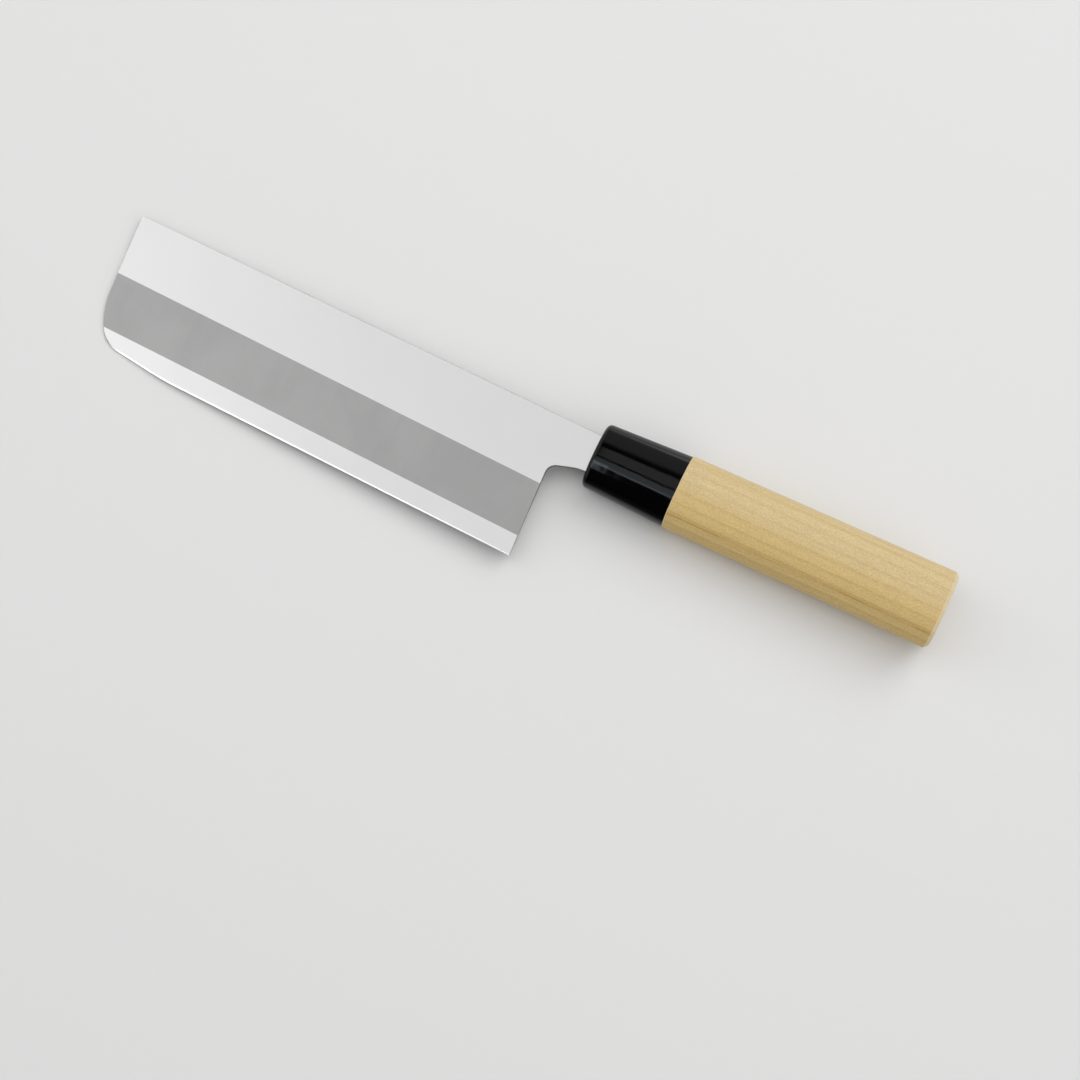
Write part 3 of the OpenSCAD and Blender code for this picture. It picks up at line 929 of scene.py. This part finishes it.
def set_world():
    """A pale room, which gloss sees as grey walls with one dark side."""
    world = bpy.data.worlds.new("studio")
    bpy.context.scene.world = world
    world.use_nodes = True
    tree = world.node_tree
    tree.nodes.clear()
    way = add_node(tree, "ShaderNodeTexCoord").outputs["Generated"]
    way = add_node(tree, "ShaderNodeSeparateXYZ", [("Vector", way)])
    path = add_node(tree, "ShaderNodeLightPath")
    seen = add_node(tree, "ShaderNodeBackground", [("Color", BACKDROP)])
    lit = add_node(tree, "ShaderNodeBackground", [("Color", opaque(WHITE)), ("Strength", 0.35)])
    side = add_math(tree, "ADD", add_range(tree, way.outputs["Y"], 0.40, 0.58, 0.0, 0.3),
                    add_range(tree, way.outputs["Y"], 0.95, 1.0, 0.0, 1.0))
    ends = add_range(tree, add_math(tree, "ABSOLUTE", way.outputs["X"]), 0.3, 0.5, 0.0, 0.5)
    walls = add_math(tree, "MAXIMUM", side, ends)
    glossy = add_node(tree, "ShaderNodeBackground", [("Color", opaque(WHITE)), ("Strength", walls)])
    shown = lit
    for ray, background in (("Is Glossy Ray", glossy), ("Is Camera Ray", seen)):
        shown = add_node(tree, "ShaderNodeMixShader", [(0, path.outputs[ray]), (1, shown.outputs[0]),
                                                       (2, background.outputs[0])])
    add_node(tree, "ShaderNodeOutputWorld", [("Surface", shown.outputs[0])])


def add_light(name, place, aim, size, power, tint=WHITE):
    """A rectangular soft light."""
    lamp = bpy.data.lights.new(name, "AREA")
    lamp.shape = "RECTANGLE"
    lamp.size, lamp.size_y = size
    lamp.energy = power
    lamp.color = tint
    light = bpy.data.objects.new(name, lamp)
    light.location = place
    light.rotation_euler = (Vector(aim) - Vector(place)).to_track_quat("-Z", "Y").to_euler()
    bpy.context.scene.collection.objects.link(light)
    return light


def add_panel(name, place, aim, size, radiance, tint=WHITE, only=False):
    """A soft light given by its radiance, which lights only the ferrule or all but the ferrule."""
    panel = add_light(name, place, aim, size, radiance * math.pi * size[0] * size[1], tint)
    panel.visible_diffuse = name not in GLOSS_PANELS
    receivers = bpy.data.collections.new(name + "_receivers")
    receivers.objects.link(bpy.data.objects["nakiri_ferrule"])
    receivers.collection_objects[0].light_linking.link_state = "INCLUDE" if only else "EXCLUDE"
    panel.light_linking.receiver_collection = receivers
    return panel


def set_lights(stage):
    """Three soft lights that gloss doesn't see, and the panels that it does."""
    middle = (0.0, 0.0, 0.01)
    for name, place, size, power in (("key", (0.55, 1.25, 1.35), (1.3, 1.3), stage.key_power),
                                     ("left_fill", (-1.6, -0.1, 1.0), (1.2, 1.2), stage.fill_power),
                                     ("right_fill", (1.6, -0.5, 1.0), (1.2, 1.2), stage.fill_power)):
        add_light(name, place, middle, size, power).visible_glossy = False
    for step, (name, x, y, radiance, tint, only) in enumerate(CEILING_PANELS):
        place = ((x[0] + x[1]) / 2, (y[0] + y[1]) / 2, CEILING + CEILING_STEP * step)
        panel = add_panel(name, place, (place[0], place[1], 0.0), (x[1] - x[0], y[1] - y[0]),
                          stage.panel_light * radiance, tint, only)
        if name == "ferrule_fan":
            panel.rotation_euler.z = FAN_TURN
    for name, place, size, radiance in FRONT_PANELS:
        add_panel(name, place, (0.0, 0.0, 0.02), size, stage.panel_light * radiance)


def set_camera(stage):
    """The camera at the photograph's angle, distance and framing."""
    lens = bpy.data.cameras.new("camera")
    lens.lens = stage.focal
    lens.sensor_width = 36.0
    camera = bpy.data.objects.new("camera", lens)
    turn = (Matrix.Rotation(stage.azimuth, 4, "Z") @ Matrix.Rotation(math.pi / 2 - stage.elevation, 4, "X")
            @ Matrix.Rotation(stage.twist, 4, "Z"))
    camera.matrix_world = (Matrix.Translation(Vector(stage.aim)) @ turn
                           @ Matrix.Translation((0, 0, stage.distance)))
    bpy.context.scene.collection.objects.link(camera)
    bpy.context.scene.camera = camera


class NAKIRI_OT_stage(bpy.types.Operator):
    """Set the pale table, the soft lights and the camera at the photograph's angle"""

    bl_idname = "nakiri.stage"
    bl_label = "Table, Lights and Camera"
    bl_options = {"REGISTER", "UNDO"}

    def execute(self, context):
        stage = context.scene.nakiri_stage
        build_table(stage.floor_colour)
        set_world()
        set_lights(stage)
        set_camera(stage)
        context.scene.view_settings.view_transform = "Standard"
        return {"FINISHED"}


class NAKIRI_PT_sidebar(bpy.types.Panel):
    """Lists the knife's pieces, their sizes and their colours"""

    bl_idname = "NAKIRI_PT_sidebar"
    bl_label = "Nakiri Knife"
    bl_space_type = "VIEW_3D"
    bl_region_type = "UI"
    bl_category = "Nakiri"

    def draw(self, context):
        for operator, group in PIECES:
            box = self.layout.box()
            box.operator(operator.bl_idname)
            settings = getattr(context.scene, group)
            for name in settings.bl_rna.properties.keys():
                if name not in ("rna_type", "name"):
                    box.prop(settings, name)


PIECES = (
    (NAKIRI_OT_blade, "nakiri_blade"),
    (NAKIRI_OT_ferrule, "nakiri_ferrule"),
    (NAKIRI_OT_handle, "nakiri_handle"),
    (NAKIRI_OT_stage, "nakiri_stage"),
)
SETTINGS = {
    "nakiri_blade": NakiriBlade,
    "nakiri_ferrule": NakiriFerrule,
    "nakiri_handle": NakiriHandle,
    "nakiri_stage": NakiriStage,
}
CLASSES = (*SETTINGS.values(), *(operator for operator, _ in PIECES), NAKIRI_PT_sidebar)


def register():
    for item in CLASSES:
        bpy.utils.register_class(item)
    for name, group in SETTINGS.items():
        setattr(bpy.types.Scene, name, PointerProperty(type=group))


def unregister():
    for name in SETTINGS:
        delattr(bpy.types.Scene, name)
    for item in reversed(CLASSES):
        bpy.utils.unregister_class(item)


def main():
    """Builds every piece and the stage."""
    register()
    bpy.ops.nakiri.blade()
    bpy.ops.nakiri.ferrule()
    bpy.ops.nakiri.handle()
    bpy.ops.nakiri.stage()


if __name__ == "__main__":
    main()
